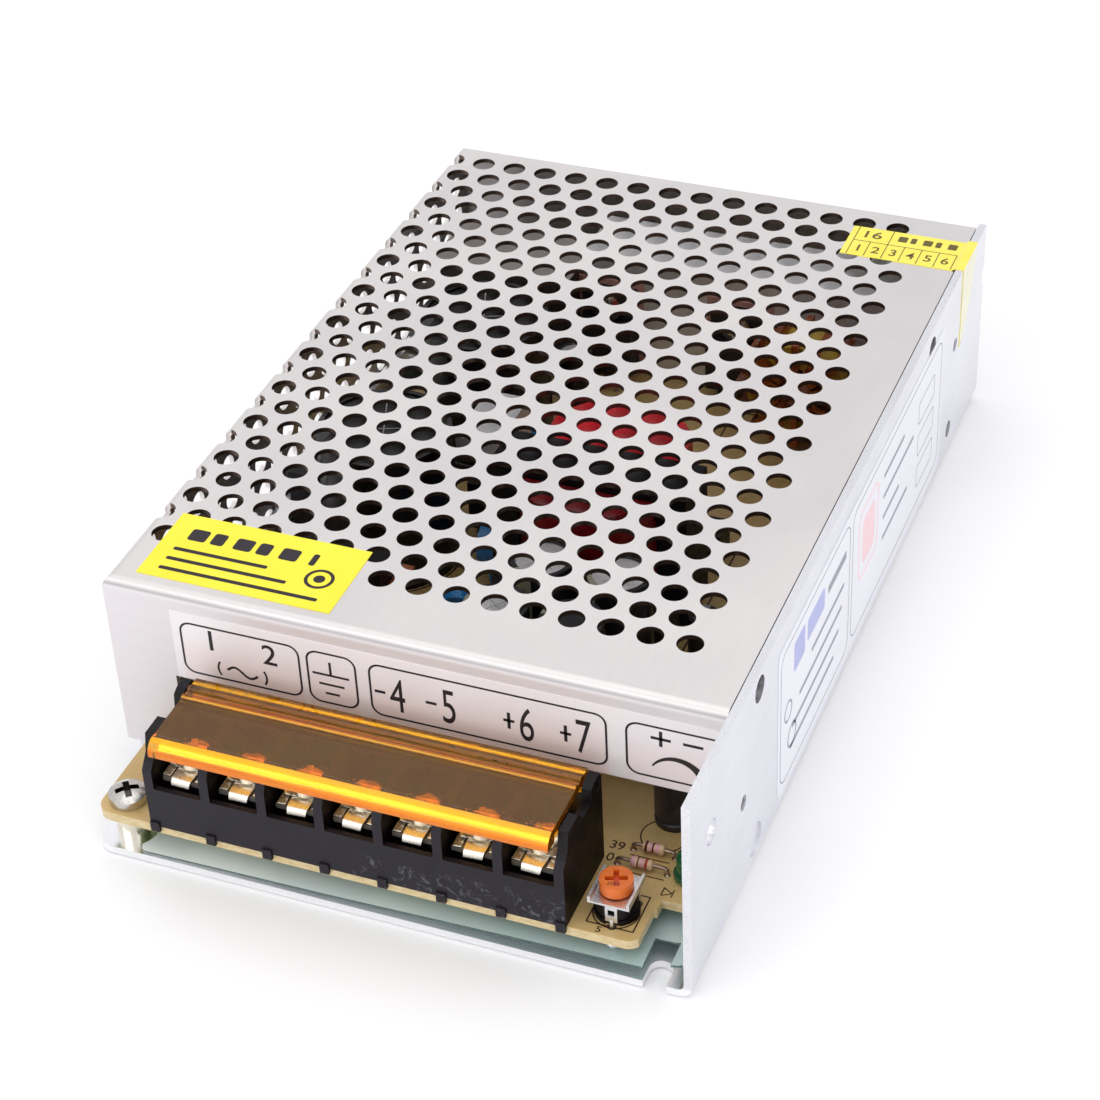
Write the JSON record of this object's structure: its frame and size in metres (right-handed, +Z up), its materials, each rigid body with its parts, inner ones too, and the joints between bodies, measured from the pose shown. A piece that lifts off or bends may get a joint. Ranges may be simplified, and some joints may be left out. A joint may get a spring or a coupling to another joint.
{
  "type": "mesh case switching power supply",
  "caption": "Open-frame switching power supply in a perforated folded aluminium case, with a screw terminal strip under a hinged amber cover.",
  "frame": {"origin": "middle of the footprint's bounding box, on the chassis's bottom face", "axes": "+Z up; +Y from the terminal end to the back, along the length; +X towards the tall side wall"},
  "size_m": [0.0993, 0.1582, 0.0358],
  "materials": {
    "sheet_aluminium": "satin, rolled sheet with sheared edges",
    "cover_aluminium": "satin, punched sheet",
    "film": "glossy thin polyester film",
    "laminate": "phenolic paper board, slightly glossy face, fibrous edge",
    "nickel_plate": "bright nickel plating",
    "tin_plate": "tin plating",
    "white_label": "satin film label",
    "yellow_label": "satin film label",
    "gold_label": "glossy seal film",
    "black_moulding": "satin moulded plastic",
    "amber_moulding": "clear amber moulded plastic",
    "orange_moulding": "moulded plastic",
    "green_lens": "tinted clear epoxy",
    "resistor_coat": "lacquered body with colour bands",
    "diode_epoxy": "moulded epoxy",
    "black_sleeve": "shrink sleeve over aluminium can",
    "white_ceramic": "glazed ceramic tube with nickel caps",
    "olive_epoxy": "dipped coating",
    "grey_box": "moulded box",
    "ferrite": "ground ferrite",
    "enamelled_copper": "enamelled copper wire",
    "black_epoxy": "moulded epoxy",
    "bobbin_moulding": "moulded phenolic",
    "red_tape": "polyester tape",
    "blue_epoxy": "dipped coating",
    "yellow_coat": "coated iron powder ring",
    "heat_sink_aluminium": "mill finish",
    "pink_pad": "silicone pad",
    "white_epoxy": "moulded epoxy"
  },
  "bodies": {
    "case": {"chassis": "sheet_aluminium", "cover": "cover_aluminium", "insulating_film": "film", "circuit_board": "laminate", "board_standoffs": "nickel_plate", "board_screws": "nickel_plate", "cover_screws": "nickel_plate", "front_label": "white_label", "yellow_label": "yellow_label", "seal_label": "gold_label", "side_label": "white_label", "terminal_block": "black_moulding", "terminal_contacts": "tin_plate", "terminal_clamps": "nickel_plate", "terminal_screws": "nickel_plate", "trimmer_base": "black_moulding", "trimmer_frame": "tin_plate", "indicator_led": "green_lens", "small_resistors": "resistor_coat", "small_diodes": "diode_epoxy", "small_capacitors": "black_sleeve", "fuse": "white_ceramic", "fuse_clips": "tin_plate", "inrush_thermistor": "olive_epoxy", "filter_capacitor": "grey_box", "choke_core": "ferrite", "choke_windings": "enamelled_copper", "bridge_rectifier": "black_epoxy", "bulk_capacitors": "black_sleeve", "transformer_core": "ferrite", "transformer_bobbin": "bobbin_moulding", "transformer_winding": "red_tape", "disc_capacitors": "blue_epoxy", "output_capacitors": "black_sleeve", "inductor_core": "yellow_coat", "inductor_winding": "enamelled_copper", "small_heat_sink": "heat_sink_aluminium", "back_heat_sink": "heat_sink_aluminium", "power_transistors": "black_epoxy", "insulating_pads": "pink_pad", "transistor_screws": "nickel_plate", "control_chip": "black_epoxy", "optocoupler": "white_epoxy"},
    "lid": {"terminal_cover": "amber_moulding"},
    "rotor": {"trimmer_rotor": "orange_moulding"}
  },
  "joints": [
    {"name": "cover_hinge", "type": "hinge", "parent": "case", "child": "lid", "pos_m": [-0.0019, -0.0649, 0.0223], "axis": [-1, 0, 0], "range_deg": [0, 95]},
    {"name": "trimmer_turn", "type": "hinge", "parent": "case", "child": "rotor", "pos_m": [0.0364, -0.0729, 0.0118], "axis": [0, 0, 1], "range_deg": [-110, 110]}
  ]
}
